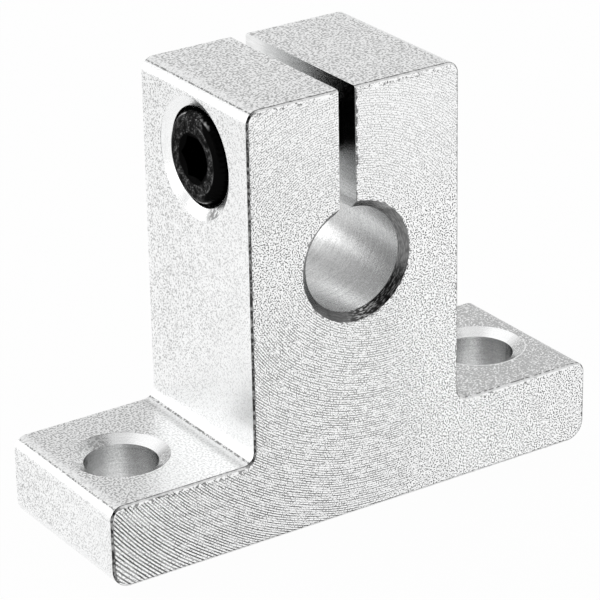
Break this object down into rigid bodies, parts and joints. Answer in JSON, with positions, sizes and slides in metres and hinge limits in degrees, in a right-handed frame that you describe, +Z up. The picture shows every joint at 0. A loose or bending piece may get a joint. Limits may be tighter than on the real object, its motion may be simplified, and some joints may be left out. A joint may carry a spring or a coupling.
{
  "type": "shaft support block",
  "caption": "Inverted-T aluminium block that clamps a round shaft in a split bore with a socket head cap screw, and bolts down through its feet.",
  "frame": {"origin": "middle of the underside of the base", "axes": "+X along the base, away from the screw head; +Y along the shaft bore; +Z up"},
  "size_m": [0.042, 0.014, 0.0333],
  "materials": {
    "aluminium_profile": "clear anodised, fine blasted sides, faced ends with arc tool marks",
    "black_oxide_steel": "black oxide, satin"
  },
  "bodies": {
    "block": {"block": "aluminium_profile"},
    "screw": {"clamp_screw": "black_oxide_steel"}
  },
  "joints": [
    {"name": "clamp_screw_turn", "type": "hinge", "parent": "block", "child": "screw", "pos_m": [-0.0051, 0, 0.02775], "axis": [-1, 0, 0], "range_deg": [0, 180]}
  ]
}
